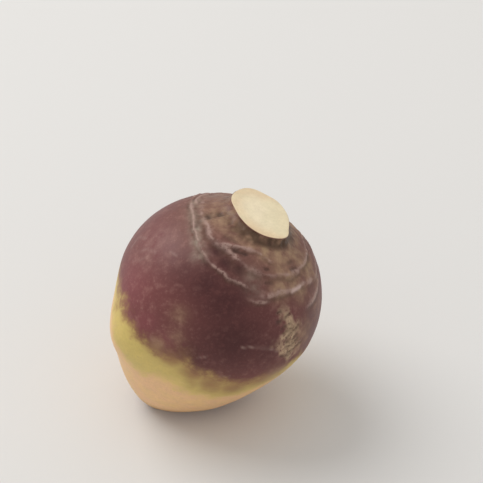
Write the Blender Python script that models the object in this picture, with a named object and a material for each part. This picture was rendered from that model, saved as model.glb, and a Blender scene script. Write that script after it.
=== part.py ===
"""A whole swede turnip: a globe-shaped root, topped at the crown and trimmed at the root end.

The root grew as one piece, so it is one solid. It is modelled about its own growth axis, crown up,
and is then leant over to the pose in which it rests on its trimmed underside.
"""

import math

import bmesh
import bpy
import numpy as np
from mathutils import Matrix, Vector

MM = 0.001

# The root about its growth axis. Heights are measured from its widest level.
WIDEST_RADIUS = 57.5 * MM
CROWN_HEIGHT = 54.3 * MM
ROOT_DEPTH = 83.0 * MM
CROWN_ROUNDNESS = 2.1  # 2 is an ellipse, and less is more pointed
ROOT_ROUNDNESS = 1.53
ROOT_DRIFT = 7.5 * MM  # how far the root end has grown off the axis, away from the lean
DRIFT_POWER = 1.6

# Where growth has swollen the root: degrees from the crown, degrees round the axis,
# the swelling's spread in degrees, and its height.
SWELLINGS = {
    "hip": (116, 216, 19, 7.4 * MM),
    "shoulder": (60, 30, 20, 1.3 * MM),
    "underside": (143, 20, 24, 9.0 * MM),
}

# The neck that carried the leaves, sliced off to leave the pale face.
NECK_FOOT_ANGLE = 30  # degrees from the crown, where the neck rises out of the shoulder
NECK_RADIUS = 18.4 * MM
NECK_FLARE = 2.6 * MM
NECK_TOP = 64.0 * MM
NECK_LOBES = ((1, 15, 0.8 * MM), (2, 115, 1.6 * MM))  # waves round it, their bearing and height
CUT_HEIGHT = 57.4 * MM
CUT_TILT = 7  # degrees that the knife tipped towards the front

# The pose at rest.
LEAN_RIGHT = 23.7  # degrees
LEAN_BACK = 8.2
TRIM_DEPTH = 72.5 * MM  # from the middle of the widest level down to the surface it rests on

SEGMENTS = 72
RING_STEP = 5  # degrees between rings on the globe
SKIN_COLOUR = (0.17, 0.07, 0.075, 1.0)
SKIN_ROUGHNESS = 0.5


def globe_distance(polar):
    """Distance from the middle to the skin at an angle from the crown: two superellipse halves."""
    across, along = math.sin(polar), math.cos(polar)
    height = CROWN_HEIGHT if along > 0 else ROOT_DEPTH
    power = CROWN_ROUNDNESS if along > 0 else ROOT_ROUNDNESS
    return ((across / WIDEST_RADIUS) ** power + (abs(along) / height) ** power) ** (-1 / power)


def outline():
    """The root's half outline as (radius, height), from the top of the neck to the root tip."""
    foot = math.radians(NECK_FOOT_ANGLE)
    foot_distance = globe_distance(foot)
    foot_radius, foot_height = foot_distance * math.sin(foot), foot_distance * math.cos(foot)
    points = [(0.0, NECK_TOP), (0.55 * NECK_RADIUS, NECK_TOP), (NECK_RADIUS, NECK_TOP)]
    points.append((NECK_RADIUS, CUT_HEIGHT))
    points.append((NECK_RADIUS + NECK_FLARE, 0.5 * (CUT_HEIGHT + foot_height)))
    points.append((0.5 * (NECK_RADIUS + NECK_FLARE + foot_radius), foot_height + 1.5 * MM))
    for degrees in range(NECK_FOOT_ANGLE, 180, RING_STEP):
        polar = math.radians(degrees)
        distance = globe_distance(polar)
        points.append((distance * math.sin(polar), distance * math.cos(polar)))
    points.append((0.0, -ROOT_DEPTH))
    return points


def spun(points):
    """The outline turned once round the growth axis, as a closed bmesh."""
    body = bmesh.new()
    corners = [body.verts.new((radius, 0.0, height)) for radius, height in points]
    edges = [body.edges.new(pair) for pair in zip(corners, corners[1:])]
    bmesh.ops.spin(
        body,
        geom=corners + edges,
        cent=(0, 0, 0),
        axis=(0, 0, 1),
        dvec=(0, 0, 0),
        angle=math.tau,
        steps=SEGMENTS,
    )
    bmesh.ops.remove_doubles(body, verts=body.verts, dist=0.01 * MM)
    return body


def direction(polar_degrees, bearing_degrees):
    polar, bearing = math.radians(polar_degrees), math.radians(bearing_degrees)
    return Vector(
        (math.sin(polar) * math.cos(bearing), math.sin(polar) * math.sin(bearing), math.cos(polar))
    )


def swell(body):
    """Grows each point outwards by the swellings near it, and drifts the root end sideways."""
    for corner in body.verts:
        heading = corner.co.normalized()
        growth = 1.0
        for polar, bearing, spread, height in SWELLINGS.values():
            apart = (1 - heading.dot(direction(polar, bearing))) / (1 - math.cos(math.radians(spread)))
            growth += height / WIDEST_RADIUS * math.exp(-apart)
        corner.co *= growth
        below = min(max(-corner.co.z / ROOT_DEPTH, 0.0), 1.0)
        corner.co.x -= ROOT_DRIFT * below**DRIFT_POWER


def lobe_neck(body):
    """Makes the neck's round section uneven, fading out at its foot."""
    foot_height = globe_distance(math.radians(NECK_FOOT_ANGLE)) * math.cos(math.radians(NECK_FOOT_ANGLE))
    for corner in body.verts:
        rise = min(max((corner.co.z - foot_height) / (CUT_HEIGHT - foot_height), 0.0), 1.0)
        bearing = math.atan2(corner.co.y, corner.co.x)
        wave = sum(
            height * math.cos(count * (bearing - math.radians(facing)))
            for count, facing, height in NECK_LOBES
        )
        corner.co.xy *= 1 + rise * wave / NECK_RADIUS


def slice_off(body, point, facing):
    """Cuts away what lies beyond a plane, and closes the cut with one flat face."""
    found = bmesh.ops.bisect_plane(
        body,
        geom=body.verts[:] + body.edges[:] + body.faces[:],
        plane_co=point,
        plane_no=facing,
        clear_outer=True,
    )
    rim = [edge for edge in found["geom_cut"] if isinstance(edge, bmesh.types.BMEdge)]
    bmesh.ops.holes_fill(body, edges=rim, sides=0)


def stand_on_origin(body):
    """Moves the root so that its underside is at height 0 and its box is centred over the origin."""
    places = np.array([corner.co[:] for corner in body.verts])
    low, high = places.min(axis=0), places.max(axis=0)
    middle = (low + high) / 2
    bmesh.ops.translate(body, verts=body.verts, vec=(-middle[0], -middle[1], -low[2]))


def skin_material():
    material = bpy.data.materials.new("turnip_skin")
    material.use_nodes = True
    shader = material.node_tree.nodes["Principled BSDF"]
    shader.inputs["Base Color"].default_value = SKIN_COLOUR
    shader.inputs["Roughness"].default_value = SKIN_ROUGHNESS
    shader.inputs["Metallic"].default_value = 0.0
    return material


def build_turnip():
    body = spun(outline())
    swell(body)
    lobe_neck(body)
    slice_off(body, Vector((0, 0, CUT_HEIGHT)), direction(CUT_TILT, 270))
    lean = Matrix.Rotation(math.radians(-LEAN_BACK), 4, "X") @ Matrix.Rotation(
        math.radians(LEAN_RIGHT), 4, "Y"
    )
    bmesh.ops.transform(body, matrix=lean, verts=body.verts)
    slice_off(body, Vector((0, 0, -TRIM_DEPTH)), Vector((0, 0, -1)))
    stand_on_origin(body)
    bmesh.ops.recalc_face_normals(body, faces=body.faces)
    mesh = bpy.data.meshes.new("turnip")
    body.to_mesh(mesh)
    body.free()
    mesh.shade_smooth()
    mesh.set_sharp_from_angle(angle=math.radians(35))
    mesh.materials.append(skin_material())
    turnip = bpy.data.objects.new("turnip", mesh)
    bpy.context.scene.collection.objects.link(turnip)
    return turnip


def clear_scene():
    for item in list(bpy.data.objects):
        bpy.data.objects.remove(item)


clear_scene()
build_turnip()
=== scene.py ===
# %% [markdown]
# # A swede turnip
#
# A swede is a swollen root. Its crown wears rings of corky scars where leaves broke off, and its
# skin goes from purple where the sun reached it, through yellow-green at the soil line, to cream
# below the soil. This one has had its leaves sliced off with the top of its neck, and it stands
# leaning on its trimmed root end.
#
# The whole root is one closed skin, so it is made here as one grid that runs from the middle of the
# cut crown, over the rim, down the neck and round the globe to the root tip. Its colour is a stack
# of layers in one material, each layer let through by a mask worked out on the same grid.

# %% Load the frame
import math

import bpy
import numpy as np
from mathutils import Matrix, Vector
from mathutils.bvhtree import BVHTree


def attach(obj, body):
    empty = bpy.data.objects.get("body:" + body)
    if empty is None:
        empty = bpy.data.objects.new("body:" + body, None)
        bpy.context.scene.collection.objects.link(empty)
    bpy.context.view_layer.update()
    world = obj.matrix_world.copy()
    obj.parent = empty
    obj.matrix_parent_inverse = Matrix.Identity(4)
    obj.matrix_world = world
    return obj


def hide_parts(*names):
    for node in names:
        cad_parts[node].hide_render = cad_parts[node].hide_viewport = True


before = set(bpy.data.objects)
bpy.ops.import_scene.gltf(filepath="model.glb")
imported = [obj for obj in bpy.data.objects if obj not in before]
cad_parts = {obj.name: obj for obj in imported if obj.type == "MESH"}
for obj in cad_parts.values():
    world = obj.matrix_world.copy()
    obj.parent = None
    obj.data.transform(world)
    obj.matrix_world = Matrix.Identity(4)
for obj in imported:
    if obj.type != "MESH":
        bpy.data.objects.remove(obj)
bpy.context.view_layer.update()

MM = 0.001

# %% [markdown]
# ## The smooth globe
#
# A sphere could be pulled about by hand, or a profile could be spun. A superellipse does it in one
# line: two powers say how blunt the crown half and the root half are. Directions are given as on a
# globe, by the polar angle from the crown and the bearing round the growth axis. Bearing 0 is to the
# right, 90 is at the back and 270 is at the front.

# %% The globe's driving sizes
WIDEST_RADIUS = 57.5 * MM
CROWN_HEIGHT = 54.3 * MM
ROOT_DEPTH = 83.0 * MM
CROWN_ROUNDNESS = 2.1
ROOT_ROUNDNESS = 1.53
ROOT_DRIFT = 7.5 * MM
DRIFT_POWER = 1.6
SWELLINGS = {  # polar angle, bearing, spread, height
    "hip": (116, 216, 19, 7.4 * MM),
    "shoulder": (60, 30, 20, 1.3 * MM),
    "underside": (143, 20, 24, 9.0 * MM),
}


def heading(polar, bearing):
    """Unit vectors at those polar angles and bearings, in radians."""
    across = np.sin(polar)
    return np.stack(
        np.broadcast_arrays(across * np.cos(bearing), across * np.sin(bearing), np.cos(polar)), -1
    )


def near(ahead, polar_degrees, bearing_degrees, spread_degrees):
    """1 at a place on the root and less all round it: e to the minus (angle over spread) squared."""
    middle = heading(np.radians(polar_degrees), np.radians(bearing_degrees))
    return np.exp(-(1 - ahead @ middle) / (1 - math.cos(math.radians(spread_degrees))))


def root_skin(polar, bearing):
    """The smooth root at each polar angle and bearing, about its growth axis.

    The distance from the middle is that of two superellipse halves, times one plus the swellings.
    The root end then drifts to the left, more and more with depth.
    """
    across, along = np.abs(np.sin(polar)), np.cos(polar)
    height = np.where(along > 0, CROWN_HEIGHT, ROOT_DEPTH)
    power = np.where(along > 0, CROWN_ROUNDNESS, ROOT_ROUNDNESS)
    distance = ((across / WIDEST_RADIUS) ** power + (np.abs(along) / height) ** power) ** (-1 / power)
    ahead = heading(polar, bearing)
    growth = 1 + sum(
        rise / WIDEST_RADIUS * near(ahead, angle, facing, spread)
        for angle, facing, spread, rise in SWELLINGS.values()
    )
    places = ahead * (distance * growth)[..., None]
    below = np.clip(-places[..., 2] / ROOT_DEPTH, 0, 1)
    places[..., 0] -= ROOT_DRIFT * below**DRIFT_POWER
    return places


# %% [markdown]
# ## One grid from crown to root tip
#
# Each column of the grid is one line of growth from the crown to the tip, and each row is a ring
# round the root. The rows are packed closely round the crown, where the scars are, and are spread out
# below it. The cut face, its rim and the neck are rows of the same grid, so nothing has to be joined.

# %% Lay out the rows and columns
COLUMNS = 480
FACE_ROWS, RIM_ROWS, NECK_ROWS, GLOBE_ROWS = 22, 5, 20, 156
NECK_FOOT = 29.0  # degrees from the crown
NECK_HEAD = 19.0  # the label its rim gets on the same scale
RIM_LABELS = 1.0  # how much of the scale the rim takes
SCAR_LIMIT = 62.0
LAST_RING = 179.4
SCAR_SHARE = 0.43

bearing = np.linspace(0, math.tau, COLUMNS, endpoint=False)[None, :]
globe_polar = np.interp(
    np.linspace(0, 1, GLOBE_ROWS), (0, SCAR_SHARE, 1), (NECK_FOOT, SCAR_LIMIT, LAST_RING)
)[:, None]
globe_rows = root_skin(np.radians(globe_polar), bearing)
print(f"{GLOBE_ROWS} rings on the globe, {COLUMNS} points round each")


# %% [markdown]
# ## The cut face and the neck
#
# The knife went through just above the shoulder, tipped a little to the front. The outline of the
# face is not a circle: leaf bases left shallow points and hollows in it. A smooth curve through a
# few radii gives it. The neck is then one Bezier arc for each column, from the rim to the globe.

# %% The outline of the cut
CUT_HEIGHT = 57.4 * MM
CUT_TILT = math.radians(7)
RIM_ROUNDING = 0.5 * MM
CUT_OUTLINE = [  # bearing in degrees, radius in millimetres
    (0, 17.2), (34, 18.0), (60, 19.0), (84, 18.9), (108, 20.2), (140, 18.9), (171, 17.7), (199, 15.6),
    (226, 15.9), (260, 17.9), (289, 19.5), (325, 20.4), (344, 17.9), (360, 17.2),
]  # fmt: skip


def curve_through(points, where):
    """A smooth curve through (place, value) points, read at where.

    Each stretch is a cubic whose slopes at its ends are those between the neighbouring points.
    """
    place, value = np.array(points, float).T
    slope = np.gradient(value, place)
    where = np.clip(where, place[0], place[-1])
    left = np.clip(np.searchsorted(place, where) - 1, 0, len(place) - 2)
    stretch = place[left + 1] - place[left]
    part = (where - place[left]) / stretch
    return (
        (2 * part**3 - 3 * part**2 + 1) * value[left]
        + (part**3 - 2 * part**2 + part) * stretch * slope[left]
        + (3 * part**2 - 2 * part**3) * value[left + 1]
        + (part**3 - part**2) * stretch * slope[left + 1]
    )


cut_radius = curve_through(CUT_OUTLINE, np.degrees(bearing)) * MM
cut_normal = np.array([0, -math.sin(CUT_TILT), math.cos(CUT_TILT)])
cut_sideways = np.array([1.0, 0, 0])
cut_backwards = np.cross(cut_normal, cut_sideways)
outwards = np.cos(bearing)[..., None] * cut_sideways + np.sin(bearing)[..., None] * cut_backwards
cut_centre = np.array([0, 0, CUT_HEIGHT])
cut_spans = np.array([cut_radius.min(), cut_radius.max()]) * 2 / MM
print("the cut face is", np.round(cut_spans, 1), "mm across")

# %% The face, its rim and the neck
FACE_START = 0.03
SLOPE_STEP = 0.5  # degrees
FOOT_PULL = 5.0 * MM
HEAD_PULL = 4.0 * MM
HEAD_FLARE = 0.12

share = np.linspace(FACE_START, 1, FACE_ROWS)[:, None, None]
face_rows = cut_centre + outwards * (cut_radius[..., None] - RIM_ROUNDING) * share

turn = np.linspace(0, math.pi / 2, RIM_ROWS + 1)[1:, None, None]
rim_rows = (
    cut_centre
    + outwards * (cut_radius[..., None] - RIM_ROUNDING * (1 - np.sin(turn)))
    - cut_normal * RIM_ROUNDING * (1 - np.cos(turn))
)

foot = globe_rows[0]
foot_slope = root_skin(np.radians(NECK_FOOT - SLOPE_STEP), bearing)[0] - foot
foot_slope /= np.linalg.norm(foot_slope, axis=-1, keepdims=True)
head = rim_rows[-1]
head_slope = HEAD_FLARE * outwards[0] - cut_normal
fall = np.linspace(0, 1, NECK_ROWS + 2)[1:-1, None, None]
neck_rows = (
    (1 - fall) ** 3 * head
    + 3 * (1 - fall) ** 2 * fall * (head + HEAD_PULL * head_slope)
    + 3 * (1 - fall) * fall**2 * (foot + FOOT_PULL * foot_slope)
    + fall**3 * foot
)

smooth = np.concatenate([face_rows, rim_rows, neck_rows, globe_rows])
row_polar = np.concatenate(
    [
        np.linspace(0, NECK_HEAD - RIM_LABELS, FACE_ROWS),
        np.linspace(NECK_HEAD - RIM_LABELS, NECK_HEAD, RIM_ROWS),
        np.linspace(NECK_HEAD, NECK_FOOT, NECK_ROWS + 2)[1:-1],
        globe_polar[:, 0],
    ]
)
polar = np.broadcast_to(row_polar[:, None], smooth.shape[:2])
facing = np.broadcast_to(np.degrees(bearing), smooth.shape[:2])
ahead = heading(np.radians(polar), np.radians(facing))
print("the grid is", smooth.shape[0], "rows by", smooth.shape[1], "columns")

# %% Growth coordinates
# A pattern that follows growth reads these: round the root across, and down it along.
path_step = np.linalg.norm(np.diff(smooth, axis=0), axis=-1).mean(axis=1)
path = np.concatenate([[0], np.cumsum(path_step)])[:, None] + 0 * bearing
growth = np.stack(
    [WIDEST_RADIUS * np.cos(bearing) + 0 * path, WIDEST_RADIUS * np.sin(bearing) + 0 * path, path], -1
)
print("from the middle of the cut to the tip is", round(float(path.max()) / MM), "mm along the skin")

# %% [markdown]
# ## Noise for living surfaces
#
# Nothing that grew is perfectly smooth. The noise here is the simplest kind: random numbers on the
# corners of a cubic lattice, blended smoothly in between. Added to the shape it makes dents and
# lumps, and added to the edge of a colour it makes that edge ragged.

# %% A noise function
LATTICE = 24
ORIGIN_OFFSET = 0.5  # metres, so that no place is negative


def smoothstep(low, high, value):
    """0 below low, 1 above high, and an S-shaped rise in between."""
    part = np.clip((value - low) / (high - low), 0, 1)
    return part * part * (3 - 2 * part)


def wander(places, size, seed):
    """Smooth noise from -1 to 1: lattice values that far apart, blended by a smoothstep each way."""
    lattice = np.random.default_rng(seed).uniform(-1, 1, (LATTICE,) * 3)
    scaled = (places + ORIGIN_OFFSET) / size
    cell = np.floor(scaled).astype(int)
    part = smoothstep(0, 1, scaled - cell)
    total = 0.0
    for corner in np.ndindex(2, 2, 2):
        weight = np.prod(np.where(corner, part, 1 - part), axis=-1)
        x, y, z = np.moveaxis((cell + corner) % LATTICE, -1, 0)
        total = total + weight * lattice[x, y, z]
    return total


# %% [markdown]
# ## Scars, pits and cracks
#
# Each leaf that fell left a low corky lip, part of a ring round the crown. A lip is made from a
# curve of polar angle against bearing and a cross-section that rises slowly from the crown's side and
# drops quickly on the other, like the edge of a shingle, into a groove, which the finish darkens
# with painted shade. The same numbers give the shape and, later, the colour, so that the pale cork
# always lies on the ridge.

# %% A soft line over the root
def stroke(route, width):
    """1 along a route over the root, less beside it: e to the minus (gap over width) squared.

    The route's points, each a polar angle and a bearing in degrees, are joined by straight lines
    through a globe of the widest radius, and the gap is the distance to the nearest of them.
    """
    angle, where = np.radians(np.array(route, float)).T
    corners = heading(angle, where) * WIDEST_RADIUS
    place = ahead * WIDEST_RADIUS
    gap = np.full(polar.shape, np.inf)
    for start, end in zip(corners, corners[1:]):
        leg = end - start
        part = np.clip((place - start) @ leg / (leg @ leg), 0, 1)
        gap = np.minimum(gap, np.linalg.norm(place - start - part[..., None] * leg, axis=-1))
    return np.exp(-((gap / width) ** 2))


# %% Leaf scars
SCARS = {  # polar angle and bearing along each ridge, then its width and height in millimetres
    "collar": ([(31, 205), (35, 222), (35, 236), (32, 248), (29.5, 262), (30, 278), (33, 290)], 1.3, 0.5),
    "front_ring": (
        [(37.5, 231), (36, 243), (37.5, 253), (39, 262), (40.5, 272), (41.2, 284), (40.4, 297),
         (39.6, 312), (38, 330), (35.5, 345), (34.5, 358), (34, 375), (36, 390)],
        1.7, 0.8,
    ),
    "long_arc": (
        [(41, 158), (38, 178), (38, 195), (41, 212), (44, 225), (47, 235), (48, 245), (49, 256),
         (50.2, 268), (52, 277)],
        1.2, 0.9,
    ),
    "left_loop": ([(34, 159), (33, 176), (33, 195), (34, 212), (36, 226)], 2.0, 0.5),
    "right_step": ([(53, 282), (51, 292), (49, 302), (47, 315), (47, 326)], 1.7, 0.6),
    "right_edge": ([(47, 328), (46.5, 338), (47.2, 350), (45.5, 362), (44, 380)], 2.0, 0.5),
    "outer_arc": ([(58.5, 324), (57, 333), (54, 342), (51, 352)], 2.0, 0.35),
    "dash": ([(57, 278), (56, 284), (55, 290)], 1.5, 0.4),
    "back_ring": ([(35, 28), (37, 55), (34, 85), (36, 120), (38, 150), (36, 170)], 1.5, 0.8),
    "back_arc": ([(44, 20), (47, 45), (46, 75), (49, 105), (46, 130), (43, 152)], 1.4, 0.8),
    "back_dash": ([(55, 60), (57, 80), (56, 98)], 1.5, 0.5),
}  # fmt: skip
FADE = 7.0  # degrees of bearing over which a ridge dies out at each end
WAVER = 1.1  # degrees that a ridge strays, slowly
TREMBLE = 0.6  # degrees that it strays, quickly
LIP_BACK, LIP_FRONT = 2.0, 0.55  # how far the lip slopes on the crown's side and on the other, in widths
HOLLOW_PLACE, HOLLOW_WIDTH, HOLLOW_SHARE = 1.3, 0.9, 0.4  # the groove in front of the lip, in widths
CORE_WIDTH, SKIRT_WIDTH, CORE_SHARE = 0.6, 1.6, 0.6  # the pale cork: a bright line in a faint band
MODEST, PATCHY_LEAST = 0.7, 0.3  # how far a ridge shows on average, and where it is faintest


def bump_profile(across, middle, width):
    """A bell-shaped cross-section: e to the minus (distance from its middle over width) squared."""
    return np.exp(-(((across - middle) / width) ** 2))


globe_share = smoothstep(NECK_FOOT - 5, NECK_FOOT, polar)
scar = np.zeros(polar.shape)
groove = np.zeros(polar.shape)
scar_height = np.zeros(polar.shape)
for number, (route, width, rise) in enumerate(SCARS.values()):
    line = [(where, angle) for angle, where in route]
    start, end = line[0][0], line[-1][0]
    middle = (start + end) / 2
    along = (facing - middle + 180) % 360 - 180 + middle
    jitter = WAVER * wander(smooth, 7 * MM, 50 + number) + TREMBLE * wander(smooth, 2.5 * MM, 60 + number)
    across = np.radians(polar - curve_through(line, along) - jitter) * WIDEST_RADIUS / MM
    ends = smoothstep(start - FADE, start + FADE, along) * smoothstep(end + FADE, end - FADE, along)
    patchy = MODEST + 0.6 * wander(smooth, 8 * MM, 80 + number) + 0.5 * wander(smooth, 2.2 * MM, 90)
    patchy = np.clip(patchy, PATCHY_LEAST, 1)
    rising = np.exp(across / (LIP_BACK * width))
    lip = np.where(across < 0, rising, bump_profile(across, 0, LIP_FRONT * width))
    hollow = bump_profile(across, HOLLOW_PLACE * width, HOLLOW_WIDTH * width)
    core = bump_profile(across, 0, CORE_WIDTH * width)
    skirt = bump_profile(across, 0, SKIRT_WIDTH * width)
    scar = np.maximum(scar, (CORE_SHARE * core + (1 - CORE_SHARE) * skirt) * ends * patchy)
    groove = np.maximum(groove, hollow * ends * patchy)
    scar_height += rise * MM * ends * (lip * (0.5 + 0.5 * patchy) - HOLLOW_SHARE * hollow)
print("leaf scars:", len(SCARS))

# %% Scratches and wrinkles
SCRATCHES = {  # polar angle and bearing along each, then its width in millimetres and strength
    "graze": ([(82.5, 281), (80.5, 288), (80.5, 297), (82.5, 304)], 0.55, 0.9),
    "wrinkle_a": ([(79, 184), (72, 182), (67, 190)], 0.9, 0.6),
    "wrinkle_b": ([(72, 196), (68, 199), (65, 206)], 0.9, 0.6),
    "wrinkle_c": ([(80, 196), (75, 201), (70, 204)], 0.8, 0.4),
    "nick_a": ([(58, 214), (57, 219)], 0.8, 0.6),
    "nick_b": ([(98, 262), (95, 266)], 0.6, 0.6),
    "nick_c": ([(106, 279), (104, 284)], 0.6, 0.5),
    "nick_d": ([(70, 40), (76, 46)], 0.6, 0.7),
    "nick_e": ([(88, 100), (85, 112)], 0.6, 0.7),
}
marks = [strength * stroke(route, width * MM) for route, width, strength in SCRATCHES.values()]
scratch = np.max(marks, axis=0)
scratch *= np.clip(0.8 + 0.5 * wander(smooth, 2.5 * MM, 31), 0, 1)

CHIP_ROUTE = [(49, 309), (47.4, 318)]  # a bright chip on the right step
CHIP_WIDTH = 1.1 * MM
chip = stroke(CHIP_ROUTE, CHIP_WIDTH)
print("scratches and wrinkles:", len(SCRATCHES))

# %% Pits
PITS = {  # where each runs, its width and its depth in millimetres
    "left_pair_a": ([(30, 195.5), (29.8, 198.5)], 2.1, 0.8),
    "left_pair_b": ([(25.6, 195.5), (25.4, 198.5)], 2.0, 0.7),
    "collar_slot": ([(34.4, 251), (33.2, 262)], 1.6, 0.75),
    "collar_dent": ([(30, 234), (29, 246)], 1.6, 0.35),
    "ring_pit": ([(38, 284), (37.6, 287)], 1.1, 0.55),
    "ring_dent_a": ([(33.5, 313), (32.8, 318)], 1.4, 0.35),
    "ring_dent_b": ([(37.6, 313), (37, 320)], 1.2, 0.5),
    "under_ring": ([(45.5, 285), (45, 290)], 1.2, 0.45),
    "loop_dent": ([(36, 201), (38.5, 207)], 1.5, 0.35),
    "pocket": ([(38.5, 232), (40.5, 243)], 2.6, 0.3),
    "low_pocket": ([(42.5, 250), (45, 262)], 2.8, 0.3),
    "cork_pit_a": ([(60.5, 297), (59.8, 299)], 0.9, 0.6),
    "cork_pit_b": ([(65.5, 298), (64.8, 300)], 0.9, 0.6),
    "back_a": ([(33, 55), (32, 66)], 1.3, 0.7),
    "back_b": ([(40, 116), (39.5, 124)], 1.2, 0.6),
    "back_c": ([(41, 18), (40, 26)], 1.2, 0.5),
}
PIT_DARKENING = 1.3  # how dark a pit is painted for each millimetre of its depth

pit = np.zeros(polar.shape)
pit_depth = np.zeros(polar.shape)
ragged_edge = np.clip(1 + 0.5 * wander(smooth, 1.8 * MM, 41), 0.3, 1.4)
for route, width, depth in PITS.values():
    hollow = stroke(route, width * MM * ragged_edge)
    pit = np.maximum(pit, hollow * min(1.0, PIT_DARKENING * depth))
    pit_depth += depth * MM * hollow
print("pits:", len(PITS))

# %% Neck fibres
FIBRE_SIZE = np.array([2.2, 2.2, 14.0]) * MM
FIBRE_HEIGHT = 0.35 * MM
HEAD_BLEND, FOOT_BLEND = 0.5, 3.0  # degrees to either side over which the neck's look fades

neck = smoothstep(NECK_HEAD - HEAD_BLEND, NECK_HEAD + HEAD_BLEND, polar)
neck *= smoothstep(NECK_FOOT + FOOT_BLEND, NECK_FOOT - FOOT_BLEND, polar)
fibre = wander(smooth * (MM / FIBRE_SIZE), 1 * MM, 7)
fibre_height = FIBRE_HEIGHT * fibre * neck
print("fibres about", FIBRE_SIZE[0] / MM, "mm across run down the neck")

# %% [markdown]
# ## The corky patch
#
# On the right a patch of skin healed as tan cork, split by short slanting cracks. The patch is a
# band with a wavering edge, and the cracks are soft lines over it, whose width noise makes uneven.

# %% Cork and its cracks
CORK_LINE = [(53, 298), (60, 303), (66, 308), (73, 311), (81, 312), (89, 316)]  # polar angle, bearing
CORK_WIDTH = [  # polar angle, half width
    (50, 2.0), (57, 4.5), (64, 6.5), (73, 9.5), (82, 9.0), (91, 0.5),
]  # fmt: skip
THINNEST = 0.2
CRACK_WIDTH = 0.95 * MM

cork_middle = curve_through(CORK_LINE, polar)
from_middle = ((facing - cork_middle + 180) % 360 - 180) * np.sin(np.radians(polar))
cork_half = np.maximum(curve_through(CORK_WIDTH, polar), THINNEST)
cork = 1 - np.abs(from_middle) / cork_half
cork += 0.7 * wander(smooth, 5 * MM, 21) + 0.4 * wander(smooth, 2 * MM, 22)
cork = smoothstep(-0.1, 0.9, cork) * smoothstep(52, 66, polar) * smoothstep(93, 86, polar)
CORK_CRACKS = [  # each from its lower left end to its upper right end
    [(69, 302), (67.5, 305), (66, 308)],
    [(72, 304), (70.2, 306), (68.5, 311)],
    [(74.5, 307), (70.8, 311), (68, 315)],
    [(77, 308), (76.2, 312), (73, 315)],
    [(80.5, 309), (79, 313), (76, 317)],
    [(81.5, 317), (79.5, 322)],
    [(85.8, 308), (86, 314)],
    [(63, 303), (61, 306)],
    [(84, 312), (82.5, 317)],
]
crack_edge = np.clip(0.95 + 0.5 * wander(smooth, 2.5 * MM, 23), 0.4, 1.4)
crack = np.max([stroke(route, CRACK_WIDTH * crack_edge) for route in CORK_CRACKS], axis=0)
print("cork covers", round(100 * float((cork > 0.5).mean()), 1), "% of the grid")

# %% [markdown]
# ## Raise the skin into relief
#
# The relief is added along the surface's own normals. A normal is the cross product of the step to
# the next row and the step to the next column, so it comes from the grid with no loop.

# %% Relief
SWELL_HEIGHT = 0.35 * MM
LUMP_HEIGHT, CROWN_LUMP_HEIGHT = 0.10 * MM, 0.12 * MM
GRAIN_HEIGHT = 0.03 * MM
FACE_HEIGHT = 0.12 * MM
SCRATCH_HEIGHT = 0.10 * MM
GROWTH_RING_HEIGHT = 0.10 * MM
RING_SQUEEZE = np.array([0.32, 0.32, 1.0])  # stretches that noise round the root
CORK_HEIGHT, CORK_GRAIN_HEIGHT = 0.3 * MM, 0.15 * MM
CRACK_DEPTH = 0.5 * MM

row_step = np.gradient(smooth, axis=0)
column_step = np.roll(smooth, -1, axis=1) - np.roll(smooth, 1, axis=1)
normals = np.cross(row_step, column_step)
normals /= np.linalg.norm(normals, axis=-1, keepdims=True)

crown_share = smoothstep(64, 34, polar) * globe_share
face = smoothstep(NECK_HEAD - 0.4, NECK_HEAD - 1, polar)
relief = SWELL_HEIGHT * wander(smooth, 21 * MM, 1) * globe_share
relief += (LUMP_HEIGHT + CROWN_LUMP_HEIGHT * crown_share) * wander(smooth, 8 * MM, 2) * globe_share
relief += (GRAIN_HEIGHT + CROWN_LUMP_HEIGHT * crown_share) * wander(smooth, 3 * MM, 3) * globe_share
relief += FACE_HEIGHT * wander(smooth, 7 * MM, 4) * face
relief += SCRATCH_HEIGHT * scratch * globe_share
relief += GROWTH_RING_HEIGHT * wander(growth * RING_SQUEEZE, 1.6 * MM, 5) * crown_share
relief += scar_height * globe_share - pit_depth * (1 - face) + fibre_height
relief += CORK_HEIGHT * cork + CORK_GRAIN_HEIGHT * cork * wander(smooth, 2.4 * MM, 25)
relief -= CRACK_DEPTH * crack
grown = smooth + normals * relief[..., None]
print("relief from", round(relief.min() / MM, 2), "to", round(relief.max() / MM, 2), "mm")

# %% [markdown]
# ## Lean it and trim its end
#
# Until here the growth axis was upright. The root stands leaning to the right and a little back, on
# an end that was trimmed flat, and the piece's origin is on the surface under the middle of its box.

# %% Lean and trim
LEAN_RIGHT = math.radians(23.7)
LEAN_BACK = math.radians(8.2)
TRIM_DEPTH = 72.5 * MM
TRIM_TOP, TRIM_BOTTOM = 1.2 * MM, -0.5 * MM  # heights between which the skin gives way to the trim
FLAT_ROUNDING = 0.5 * MM

lean = np.array(Matrix.Rotation(-LEAN_BACK, 3, "X") @ Matrix.Rotation(LEAN_RIGHT, 3, "Y"))


def stood(places):
    """Leans the root and lowers it into the surface it stands on: heights are then over that surface."""
    leant = places @ lean.T
    leant[..., 2] += TRIM_DEPTH
    return leant


def trimmed(places):
    """Flattens what reaches below the surface, with a small rounding where the cut meets the skin."""
    flat = places.copy()
    height = places[..., 2]
    flat[..., 2] = 0.5 * (height + np.sqrt(height**2 + FLAT_ROUNDING**2))
    flat[..., 2] -= FLAT_ROUNDING**2 / 4 / np.maximum(np.abs(height), FLAT_ROUNDING)
    return flat


plain = trimmed(stood(smooth))
middle = (plain.reshape(-1, 3).min(axis=0) + plain.reshape(-1, 3).max(axis=0)) / 2
middle[2] = 0
standing = stood(grown) - middle
trim = smoothstep(TRIM_TOP, TRIM_BOTTOM, standing[..., 2])
skin_places = trimmed(standing)
skin_places[..., 2] = np.maximum(skin_places[..., 2], 0)
print("it stands", round(float(skin_places[..., 2].max()) / MM, 1), "mm high")

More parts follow.
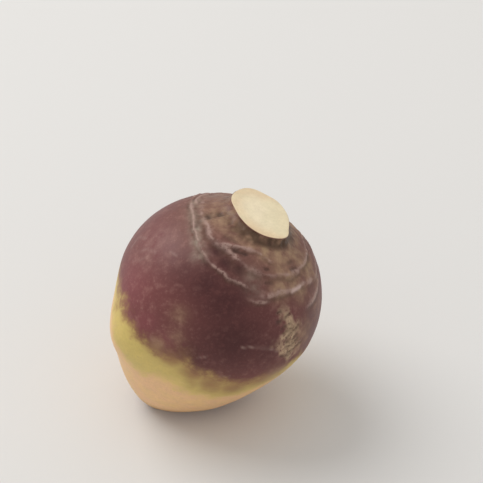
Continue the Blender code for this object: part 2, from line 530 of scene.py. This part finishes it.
# %% [markdown]
# ## Where each colour lies
#
# The purple ends along a wandering line a little below the widest level, and the yellow-green band
# under it ends along another. What is stored for each is not the colour but the distance from the
# line, in degrees, so that the material can make the edge as sharp or as ragged as it likes.

# %% The two colour lines
PURPLE_LINE = [  # bearing, polar angle
    (0, 91), (30, 93), (60, 99), (90, 104), (120, 101), (150, 96), (180, 96), (203, 99), (216, 102),
    (233, 107), (243, 108), (252, 106), (268, 109), (288, 111), (300, 109), (312, 102), (325, 93),
    (360, 91),
]  # fmt: skip
GREEN_LINE = [
    (0, 101), (40, 105), (90, 116), (150, 109), (190, 106), (206, 109), (216, 117), (233, 131),
    (246, 126), (274, 128), (290, 127), (310, 116), (325, 104), (360, 101),
]  # fmt: skip

purple_depth = curve_through(PURPLE_LINE, facing) - polar
green_depth = curve_through(GREEN_LINE, facing) - polar
print("the purple reaches", max(angle for _, angle in PURPLE_LINE), "degrees from the crown")

# %% Spots of colour
MAGENTA_SPOTS = [  # polar angle, bearing, spread in degrees, strength
    (88, 206, 20, 1.0), (64, 198, 16, 0.7), (98, 243, 8, 0.9), (106, 300, 10, 0.5),
    (80, 20, 30, 0.6), (96, 228, 9, 1.0), (85, 120, 30, 0.7),
]  # fmt: skip
# deep purple pigment, deepened further as painted shade on the front, which faces away from the light
DEEP_AND_SHADE_SPOTS = [
    (58, 248, 14, 1.0), (62, 262, 18, 1.0), (80, 275, 22, 1.0), (60, 235, 12, 0.6),
    (41, 238, 5, 1.0), (44, 250, 6, 1.0), (43, 261, 5, 1.0), (50, 240, 6, 0.8), (96, 262, 14, 0.7),
    (82, 295, 14, 0.7), (70, 330, 12, 0.5), (75, 70, 20, 0.5), (37, 243, 3, 0.7),
]  # fmt: skip
# pale bloom spots, which also paint a highlight on the upper left of the crown
BLOOM_AND_HIGHLIGHT_SPOTS = [
    (37, 192, 3, 0.7), (40, 209, 3.5, 1.0), (43.5, 221, 3.5, 1.0), (49, 229, 4, 0.5),
    (35, 200, 3, 0.5), (44, 273, 5, 0.4), (50, 277, 5, 0.4), (35, 140, 8, 0.5), (64, 200, 15, 0.2),
]  # fmt: skip
TAN_SPOTS = [
    (27, 285, 6, 1.0), (29, 305, 7, 1.0), (30, 330, 8, 1.0), (24, 200, 9, 1.0), (29, 172, 8, 0.5),
    (30, 100, 12, 0.8), (30, 40, 12, 0.8), (37, 300, 6, 0.8), (44, 310, 7, 1.0), (48, 298, 6, 0.9),
    (50, 318, 6, 0.8), (40, 340, 9, 1.0), (47, 345, 8, 0.5), (80, 243, 5, 0.4), (92, 246, 5, 0.4),
    (76, 321, 10, 0.6), (101, 316, 9, 0.8), (103, 240, 5, 0.5), (60, 340, 12, 0.3),
]  # fmt: skip
FRINGE_SPOTS = [
    (100, 255, 6, 0.9), (107, 250, 7, 1.0), (113, 264, 8, 1.0), (104, 240, 5, 0.7),
    (115, 278, 9, 1.0), (115, 293, 9, 1.0), (107, 307, 7, 0.9), (120, 265, 9, 0.9),
    (121, 282, 9, 0.9), (96, 60, 10, 0.6), (98, 150, 9, 0.5),
]  # fmt: skip
BLOOM_AND_HIGHLIGHT_BAND = [  # a pale band of bloom with a painted highlight along the long arc
    (38, 160), (38, 189), (39, 204), (41.8, 215), (44.5, 224), (48, 232),
]  # fmt: skip
BLOOM_AND_HIGHLIGHT_BAND_WIDTH = 3.4 * MM
BLOOM_AND_HIGHLIGHT_BAND_SHARE = 0.6
HEEL_TOP, HEEL_BOTTOM = 18 * MM, 2 * MM  # heights between which the skin is painted a darker brown towards the floor


def dabs(spots):
    """The strongest of several soft dabs, each a polar angle, a bearing, a spread and a strength."""
    return np.max([near(ahead, *spot[:3]) * spot[3] for spot in spots], axis=0)


# %% The masks
lit_neck_side = near(ahead, 24, 185, 17)  # the neck's lit side, with less soil and less painted shade
shaded_side = near(ahead, 27, 150, 14)
soil_and_shade_patches = np.clip(0.95 - 0.5 * fibre + 0.6 * wander(smooth, 2.6 * MM, 71), 0, 1)
# soil on the neck, with painted shade that is darkest just under the cut's rim
neck_soil_and_shade = neck * smoothstep(28.5, 23, polar) * (1 - 0.8 * lit_neck_side) * soil_and_shade_patches
tan_share = np.maximum(dabs(TAN_SPOTS), 0.7 * neck) * (1 - face) * (1 - 0.5 * shaded_side)
bloom_and_highlight_band = BLOOM_AND_HIGHLIGHT_BAND_SHARE * stroke(BLOOM_AND_HIGHLIGHT_BAND, BLOOM_AND_HIGHLIGHT_BAND_WIDTH)
rim_label = polar / NECK_HEAD
face_rim = smoothstep(0.35, 1.0, rim_label) * smoothstep(NECK_HEAD + 0.5, NECK_HEAD - 0.5, polar)

tints = {
    "purple_depth": purple_depth,
    "green_depth": green_depth,
    "magenta": dabs(MAGENTA_SPOTS),
    "deep": dabs(DEEP_AND_SHADE_SPOTS),
    "bloom_and_highlight": np.maximum(dabs(BLOOM_AND_HIGHLIGHT_SPOTS), bloom_and_highlight_band),
    "tan": tan_share,
    "scar": scar * globe_share,
    "groove": groove * globe_share,
    "pit": pit * (1 - face),
    "cork": cork,
    "crack": crack,
    "scratch": scratch * globe_share,
    "chip": chip,
    "neck": neck_soil_and_shade,
    "crown": crown_share,
    "face": face,
    "face_edge": face_rim,
    "fringe": dabs(FRINGE_SPOTS),
    "trim": trim,
    "heel": smoothstep(HEEL_TOP, HEEL_BOTTOM, standing[..., 2]),
}
print("masks:", ", ".join(tints))

# %% [markdown]
# ## Put the grid into a mesh
#
# The grid closes on itself sideways, so the last column joins the first. One point closes it in the
# middle of the cut face, and one at the tip. Each grid square is two triangles, and the grid's size
# keeps the piece under the 200,000 that its file may hold.

# %% Build the mesh
rows = skin_places.shape[0]
index = np.arange(rows * COLUMNS).reshape(rows, COLUMNS)
beside = np.roll(index, -1, axis=1)
quads = np.stack([index[:-1], index[1:], beside[1:], beside[:-1]], -1).reshape(-1, 4)
face_pole, tip_pole = rows * COLUMNS, rows * COLUMNS + 1
face_fan = np.stack([np.full(COLUMNS, face_pole), index[0], beside[0]], -1)
tip_fan = np.stack([beside[-1], index[-1], np.full(COLUMNS, tip_pole)], -1)
poles = np.stack([skin_places[0].mean(axis=0), skin_places[-1].mean(axis=0)])
points = np.concatenate([skin_places.reshape(-1, 3), poles])

mesh = bpy.data.meshes.new("turnip_skin")
mesh.from_pydata(points.tolist(), [], quads.tolist() + face_fan.tolist() + tip_fan.tolist())
mesh.validate()
mesh.shade_smooth()
for name, values in tints.items():
    layer = mesh.attributes.new(name, "FLOAT", "POINT")
    layer.data.foreach_set("value", np.append(values.ravel(), [values[0].mean(), values[-1].mean()]))

growth_points = np.concatenate([growth.reshape(-1, 3), growth[[0, -1], 0]])
layer = mesh.attributes.new("growth", "FLOAT_VECTOR", "POINT")
layer.data.foreach_set("vector", growth_points.astype(np.float32).ravel())

turnip = bpy.data.objects.new("turnip_skin", mesh)
bpy.context.scene.collection.objects.link(turnip)
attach(turnip, "root")
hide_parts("turnip")
print(len(mesh.polygons), "faces,", len(quads) * 2 + 2 * COLUMNS, "triangles")

# %% [markdown]
# ## The skin's finish
#
# The material is painted in layers, as the root was coloured: cream flesh tone, then the yellow-green
# band, then purple with painted shade on its front, and over them the cork, the bloom with a painted
# highlight, and soil and painted shade in the hollows and under the cut. A mask lets each layer
# through, and noise breaks up most masks, so that no edge looks sprayed.


# %% A small helper for layered finishes
class Finish:
    """One material under construction. Each method adds a node and gives back its output."""

    ROUGHER = 0.55  # how strong each finer layer of a noise is beside the one before

    def __init__(self, name):
        self.material = bpy.data.materials.new(name)
        self.material.use_nodes = True
        self.tree = self.material.node_tree
        self.shader = self.tree.nodes["Principled BSDF"]
        self.places = self.add("TexCoord").outputs["Object"]

    def add(self, kind, **settings):
        node = self.tree.nodes.new("ShaderNode" + kind)
        for name, value in settings.items():
            setattr(node, name, value)
        return node

    def feed(self, socket, value):
        """Links an output to a socket, or sets the socket to a plain value."""
        if isinstance(value, bpy.types.NodeSocket):
            self.tree.links.new(value, socket)
        else:
            socket.default_value = value

    def mask(self, name):
        """One of the tints stored on the mesh."""
        return self.add("Attribute", attribute_name=name).outputs["Fac"]

    def growth(self, across, along):
        """The growth coordinates, squeezed so that a pattern is that much finer across and along."""
        source = self.add("Attribute", attribute_name="growth").outputs["Vector"]
        scaled = self.add("VectorMath", operation="MULTIPLY")
        self.feed(scaled.inputs[0], source)
        scaled.inputs[1].default_value = (across, across, along)
        return scaled.outputs[0]

    def noise(self, size, detail=3.0, coords=None):
        """Noise from 0 to 1 whose lumps are about that size, with finer lumps on them."""
        node = self.add("TexNoise")
        self.feed(node.inputs["Vector"], coords or self.places)
        node.inputs["Scale"].default_value = 1 / size
        node.inputs["Detail"].default_value = detail
        node.inputs["Roughness"].default_value = self.ROUGHER
        return node.outputs["Fac"]

    def cells(self, size, coords=None):
        """Distance from the middle of scattered cells, 0 at each middle."""
        node = self.add("TexVoronoi")
        self.feed(node.inputs["Vector"], coords or self.places)
        node.inputs["Scale"].default_value = 1 / size
        return node.outputs["Distance"]

    def math(self, operation, first, second=0.0):
        node = self.add("Math", operation=operation)
        self.feed(node.inputs[0], first)
        self.feed(node.inputs[1], second)
        return node.outputs[0]

    def times(self, first, second):
        return self.math("MULTIPLY", first, second)

    def plus(self, first, second):
        return self.math("ADD", first, second)

    def between(self, low, high, value):
        """0 below low, 1 above high, smooth in between; the other way round if low is the larger."""
        node = self.add("MapRange", interpolation_type="SMOOTHSTEP")
        self.feed(node.inputs["Value"], value)
        node.inputs["From Min"].default_value = min(low, high)
        node.inputs["From Max"].default_value = max(low, high)
        node.inputs["To Min"].default_value = 0.0 if low < high else 1.0
        node.inputs["To Max"].default_value = 1.0 if low < high else 0.0
        return node.outputs["Result"]

    def layer(self, under, over, share):
        """over laid on under, as much as share says."""
        node = self.add("Mix", data_type="RGBA", clamp_factor=True)
        self.feed(node.inputs[0], share)
        self.feed(node.inputs[6], under)
        self.feed(node.inputs[7], over)
        return node.outputs[2]

    def shade(self, colour, value):
        """colour made lighter or darker by value, which is 1 for no change."""
        node = self.add("HueSaturation")
        self.feed(node.inputs["Color"], colour)
        self.feed(node.inputs["Value"], value)
        return node.outputs["Color"]


def paint(red, green, blue):
    """A colour given as 0 to 255 on a screen, as the light it reflects."""
    screen = np.array([red, green, blue]) / 255
    light = np.where(screen <= 0.04045, screen / 12.92, ((screen + 0.055) / 1.055) ** 2.4)
    return (*light.tolist(), 1.0)


# %% Ragged edges
EDGE_STRAY = {"broad": 16.0, "medium": 14.0, "fine": 5.0}  # degrees that each noise moves an edge
EDGE_MEAN = 17.5  # taken off again, so that the edges stay on their lines

skin = Finish("swede_skin")
broad = skin.noise(14 * MM)
medium = skin.noise(5 * MM, detail=4)
fine = skin.noise(1.4 * MM, detail=4)

ragged = skin.plus(skin.times(broad, EDGE_STRAY["broad"]), skin.times(medium, EDGE_STRAY["medium"]))
ragged = skin.plus(ragged, skin.times(fine, EDGE_STRAY["fine"]))
ragged = skin.math("SUBTRACT", ragged, EDGE_MEAN)
purple_edge = skin.plus(skin.mask("purple_depth"), ragged)
green_edge = skin.plus(skin.mask("green_depth"), ragged)
print("the colour edges stray by up to", sum(EDGE_STRAY.values()) / 2, "degrees")

# %% Cream, yellow-green and the brown fringe
CREAM = paint(231, 190, 134)
PEACH = paint(231, 186, 140)
YELLOW_GREEN = paint(204, 182, 104)
FRINGE = paint(148, 108, 73)
GREEN_SHARE = 0.9
FRINGE_SHARE = 0.8
WIDE_FRINGE_SHARE = 0.85

colour = skin.layer(CREAM, PEACH, skin.between(0.35, 0.65, broad))
colour = skin.layer(colour, YELLOW_GREEN, skin.times(skin.between(-7, 5, green_edge), GREEN_SHARE))
colour = skin.layer(colour, FRINGE, skin.times(skin.between(-7, 3, purple_edge), FRINGE_SHARE))
wide_fringe = skin.times(skin.mask("fringe"), skin.between(-20, -5, purple_edge))
colour = skin.layer(colour, FRINGE, skin.times(wide_fringe, WIDE_FRINGE_SHARE))

# %% Purple, with its streaks and grains
PURPLE = paint(108, 60, 57)
MAGENTA = paint(124, 66, 68)
CROWN_BROWN = paint(124, 90, 76)
DEEP_PURPLE_AND_SHADE = paint(73, 33, 33)
PALE_STREAK = paint(162, 122, 112)
BROWN_SHARE = 0.75
CROWN_SHARE = 0.55
STREAK_SHARE = 0.24
GRAIN_SHARE = 0.18
FLECK_SHARE = 0.22
FLECK_SPACING = 3.6 * MM
DEEP_CALM = 0.75  # how far the streaks and grains die down where the purple is deepest

plain_share = skin.math("SUBTRACT", 1.0, skin.times(skin.mask("deep"), DEEP_CALM))
purple = skin.layer(PURPLE, MAGENTA, skin.mask("magenta"))
brown = skin.times(skin.mask("fringe"), skin.between(0.3, 0.55, medium))
purple = skin.layer(purple, FRINGE, skin.times(brown, BROWN_SHARE))
purple = skin.layer(purple, CROWN_BROWN, skin.times(skin.mask("crown"), CROWN_SHARE))
# deep purple, partly painted shade on the front
deep = skin.times(skin.mask("deep"), skin.between(0.1, 0.5, medium))
purple = skin.layer(purple, DEEP_PURPLE_AND_SHADE, deep)
streaks = skin.times(skin.between(0.5, 0.74, medium), plain_share)
purple = skin.layer(purple, PALE_STREAK, skin.times(streaks, STREAK_SHARE))
grains = skin.times(skin.between(0.54, 0.74, fine), plain_share)
purple = skin.layer(purple, PALE_STREAK, skin.times(grains, GRAIN_SHARE))
colour = skin.layer(colour, purple, skin.between(-2.5, 7, purple_edge))

fleck_cells = skin.cells(FLECK_SPACING, skin.growth(0.8, 1.15))
fleck = skin.times(skin.between(0.24, 0.05, fleck_cells), skin.between(0.46, 0.62, medium))
fleck = skin.times(fleck, plain_share)
colour = skin.layer(colour, PALE_STREAK, skin.times(fleck, FLECK_SHARE))

# %% Scars, cork, bloom with a painted highlight, soil and painted shade
SCAR = paint(172, 142, 132)
TAN = paint(166, 136, 106)
BLOOM_AND_HIGHLIGHT = paint(164, 150, 134)
SOIL_AND_SHADE = paint(72, 50, 33)
CHIP = paint(204, 176, 168)
CORK = paint(182, 154, 126)
PIT = paint(62, 40, 32)
SCRATCH_SHARE = 0.55
BLOOM_AND_HIGHLIGHT_SHARE = 0.75
GROOVE_SHADE_SHARE = 0.45
SCAR_SHARE_MOST = 0.7
CHIP_SHARE = 0.8
CRACK_SHARE = 0.7
NECK_SOIL_AND_SHADE_SHARE = 0.9
PIT_SHARE = 0.85

colour = skin.layer(colour, SCAR, skin.times(skin.mask("scratch"), SCRATCH_SHARE))
colour = skin.layer(colour, TAN, skin.times(skin.mask("tan"), skin.between(0.1, 0.75, medium)))
# pale bloom, partly a painted highlight
bloom_and_highlight = skin.times(skin.mask("bloom_and_highlight"), skin.between(0.2, 0.6, medium))
colour = skin.layer(colour, BLOOM_AND_HIGHLIGHT, skin.times(bloom_and_highlight, BLOOM_AND_HIGHLIGHT_SHARE))
# painted shade in the groove below each lip, in the dark soil colour
colour = skin.layer(colour, SOIL_AND_SHADE, skin.times(skin.mask("groove"), GROOVE_SHADE_SHARE))
scar_share = skin.times(skin.mask("scar"), skin.between(0.2, 0.5, fine))
colour = skin.layer(colour, SCAR, skin.times(skin.between(0.05, 0.9, scar_share), SCAR_SHARE_MOST))
colour = skin.layer(colour, CHIP, skin.times(skin.mask("chip"), CHIP_SHARE))
colour = skin.layer(colour, CORK, skin.times(skin.mask("cork"), skin.between(0.25, 0.5, fine)))
colour = skin.layer(colour, SOIL_AND_SHADE, skin.times(skin.mask("crack"), CRACK_SHARE))
# soil and painted shade on the neck under the cut
colour = skin.layer(colour, SOIL_AND_SHADE, skin.times(skin.mask("neck"), NECK_SOIL_AND_SHADE_SHARE))
# the pits painted dark, the darker the deeper they are
colour = skin.layer(colour, PIT, skin.times(skin.mask("pit"), PIT_SHARE))

# %% The cut flesh and the heel
FLESH = paint(239, 223, 190)
FLESH_EDGE = paint(228, 202, 164)
FLESH_CORE = paint(234, 220, 184)
HEEL = paint(160, 108, 58)
CORE_BLEND = 0.8
LIGHTNESS, MEDIUM_CHANGE, FINE_CHANGE = 0.75, 0.28, 0.22  # with noise about 0.5 they come to 1

flesh = skin.layer(FLESH, FLESH_EDGE, skin.mask("face_edge"))
flesh = skin.layer(flesh, FLESH_CORE, skin.times(skin.between(0.35, 0.65, broad), CORE_BLEND))
colour = skin.layer(colour, flesh, skin.mask("face"))
# the skin painted a darker brown towards the floor
heel_share = skin.times(skin.mask("heel"), skin.between(0.1, 0.6, medium))
colour = skin.layer(colour, HEEL, heel_share)
colour = skin.layer(colour, FLESH_EDGE, skin.mask("trim"))
value = skin.plus(skin.times(medium, MEDIUM_CHANGE), skin.times(fine, FINE_CHANGE))
colour = skin.shade(colour, skin.plus(value, LIGHTNESS))
skin.feed(skin.shader.inputs["Base Color"], colour)

# %% Gloss and grain
SMOOTHEST = 0.36
ROUGHER_IN_PATCHES, ROUGHER_CROWN, ROUGHER_CORK = 0.2, 0.15, 0.2
SHINE = 0.3
GRAIN_DEPTH = 0.3 * MM
GRAIN_STRENGTH = 0.35

roughness = skin.plus(skin.times(medium, ROUGHER_IN_PATCHES), SMOOTHEST)
roughness = skin.plus(roughness, skin.times(skin.mask("crown"), ROUGHER_CROWN))
roughness = skin.plus(roughness, skin.times(skin.mask("cork"), ROUGHER_CORK))
skin.feed(skin.shader.inputs["Roughness"], roughness)
skin.shader.inputs["Specular IOR Level"].default_value = SHINE

lengthwise = skin.noise(1.6 * MM, detail=4, coords=skin.growth(1.0, 0.16))
grain = skin.plus(skin.times(fine, 0.6), skin.times(lengthwise, 0.4))
bump = skin.add("Bump")
bump.inputs["Strength"].default_value = GRAIN_STRENGTH
bump.inputs["Distance"].default_value = GRAIN_DEPTH
skin.feed(bump.inputs["Height"], grain)
skin.feed(skin.shader.inputs["Normal"], bump.outputs["Normal"])
mesh.materials.append(skin.material)
print("nodes in the skin's finish:", len(skin.tree.nodes))

# %% [markdown]
# ## The table, the light and the camera
#
# A pale matt floor and one large soft light from behind on the left give the broad soft shadow that
# falls towards the camera. The sky fills the shadows. The camera looks down on the root through a
# long lens, so that it isn't drawn out of shape.

# %% Floor
FLOOR_SIZE = 8.0
FLOOR_COLOUR = paint(222, 220, 217)
FLOOR_ROUGHNESS = 0.9
FLOOR_SHINE = 0.1

floor_mesh = bpy.data.meshes.new("floor")
half = FLOOR_SIZE / 2
floor_corners = [(-half, -half, 0), (half, -half, 0), (half, half, 0), (-half, half, 0)]
floor_mesh.from_pydata(floor_corners, [], [(0, 1, 2, 3)])
floor = bpy.data.objects.new("floor", floor_mesh)
bpy.context.scene.collection.objects.link(floor)
floor_finish = Finish("matt_floor")
floor_finish.shader.inputs["Base Color"].default_value = FLOOR_COLOUR
floor_finish.shader.inputs["Roughness"].default_value = FLOOR_ROUGHNESS
floor_finish.shader.inputs["Specular IOR Level"].default_value = FLOOR_SHINE
floor_mesh.materials.append(floor_finish.material)

# %% Light
SOFTBOX_PLACE = Vector((-1.95, 1.15, 2.9))
SOFTBOX_SIZE = 2.8
SOFTBOX_WATTS = 72.0
SKY_COLOUR = (1.0, 0.995, 0.985, 1.0)
SKY_STRENGTH = 0.68

body_middle = Vector((-middle[0], -middle[1], TRIM_DEPTH))
softbox = bpy.data.lights.new("softbox", "AREA")
softbox.shape = "DISK"
softbox.size = SOFTBOX_SIZE
softbox.energy = SOFTBOX_WATTS
softbox_object = bpy.data.objects.new("softbox", softbox)
softbox_object.location = SOFTBOX_PLACE
softbox_object.rotation_euler = (body_middle - SOFTBOX_PLACE).to_track_quat("-Z", "Y").to_euler()
bpy.context.scene.collection.objects.link(softbox_object)

world = bpy.data.worlds.new("studio")
world.use_nodes = True
world.node_tree.nodes["Background"].inputs["Color"].default_value = SKY_COLOUR
world.node_tree.nodes["Background"].inputs["Strength"].default_value = SKY_STRENGTH
bpy.context.scene.world = world
bpy.context.scene.view_settings.view_transform = "Standard"

# %% Camera
LOOKS_DOWN = math.radians(39)
DISTANCE = 0.8988
AIM_RIGHT = 12.8 * MM
AIM_UP = 29.5 * MM
LENS = 120.0

camera_data = bpy.data.cameras.new("camera")
camera_data.lens = LENS
camera = bpy.data.objects.new("camera", camera_data)
camera.rotation_euler = (math.pi / 2 - LOOKS_DOWN, 0, 0)
turned = camera.rotation_euler.to_matrix()
camera.location = body_middle + turned @ Vector((AIM_RIGHT, AIM_UP, DISTANCE))
bpy.context.scene.collection.objects.link(camera)
bpy.context.scene.camera = camera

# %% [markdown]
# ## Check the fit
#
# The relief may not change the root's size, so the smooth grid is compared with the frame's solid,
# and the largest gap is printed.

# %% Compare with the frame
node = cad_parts["turnip"]
corners = [corner.co for corner in node.data.vertices]
solid = BVHTree.FromPolygons(corners, [side.vertices[:] for side in node.data.polygons])
sample = (plain - middle)[::6, ::12].reshape(-1, 3)
gaps = [solid.find_nearest(Vector(place))[3] for place in sample]
print("the smooth grid is", round(max(gaps) / MM, 2), "mm from the solid at most")
